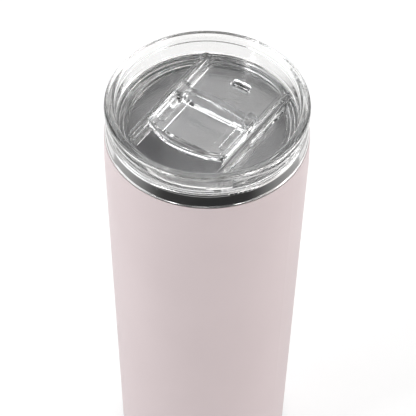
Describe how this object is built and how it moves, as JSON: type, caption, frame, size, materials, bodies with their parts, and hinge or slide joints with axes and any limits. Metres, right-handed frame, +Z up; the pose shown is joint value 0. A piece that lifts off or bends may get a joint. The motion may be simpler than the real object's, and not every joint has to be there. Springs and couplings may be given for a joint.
{
  "type": "insulated tumbler with lid",
  "caption": "Tapered double-wall vacuum tumbler with a matte coat, bare steel lip and clear press-in lid whose slider opens the drinking hole.",
  "frame": {"origin": "centre of the foot, on the surface the tumbler stands on", "axes": "+Z up along the cup's axis, -Y towards the drinking side, +X towards the side with the thumb notch"},
  "size_m": [0.0878, 0.0878, 0.2083],
  "materials": {
    "bare_steel": "polished, fine circular brushing",
    "liner_steel": "spun, with concentric striations",
    "powder_coat": "matte powder coat, pale blush",
    "clear_plastic": "clear, high gloss",
    "seal_silicone": "translucent matte silicone",
    "copper": "bright foil",
    "getter_metal": "sintered powder",
    "strap_steel": "thin rolled strip",
    "solder_glass": "dark fused glass",
    "base_steel": "circular brushed",
    "pad_silicone": "matte silicone"
  },
  "bodies": {
    "cup": {"outer_shell": "bare_steel", "powder_coat": "powder_coat", "inner_liner": "liner_steel", "rim_weld_bead": "bare_steel", "liner_bottom": "liner_steel", "copper_foil": "copper", "vacuum_bottom": "strap_steel", "sealing_glass": "solder_glass", "getter_pellet": "getter_metal", "getter_clip": "strap_steel", "base_cover": "base_steel", "foot_pad": "pad_silicone"},
    "lid": {"lid_body": "clear_plastic", "lid_gasket": "seal_silicone"},
    "slider": {"slider": "clear_plastic"}
  },
  "joints": [
    {"name": "lid_lift", "type": "slide", "parent": "cup", "child": "lid", "axis": [0, 0, 1], "range_m": [0, 0.06]},
    {"name": "slider_close", "type": "slide", "parent": "lid", "child": "slider", "axis": [0, -1, 0], "range_m": [0, 0.0156]}
  ]
}
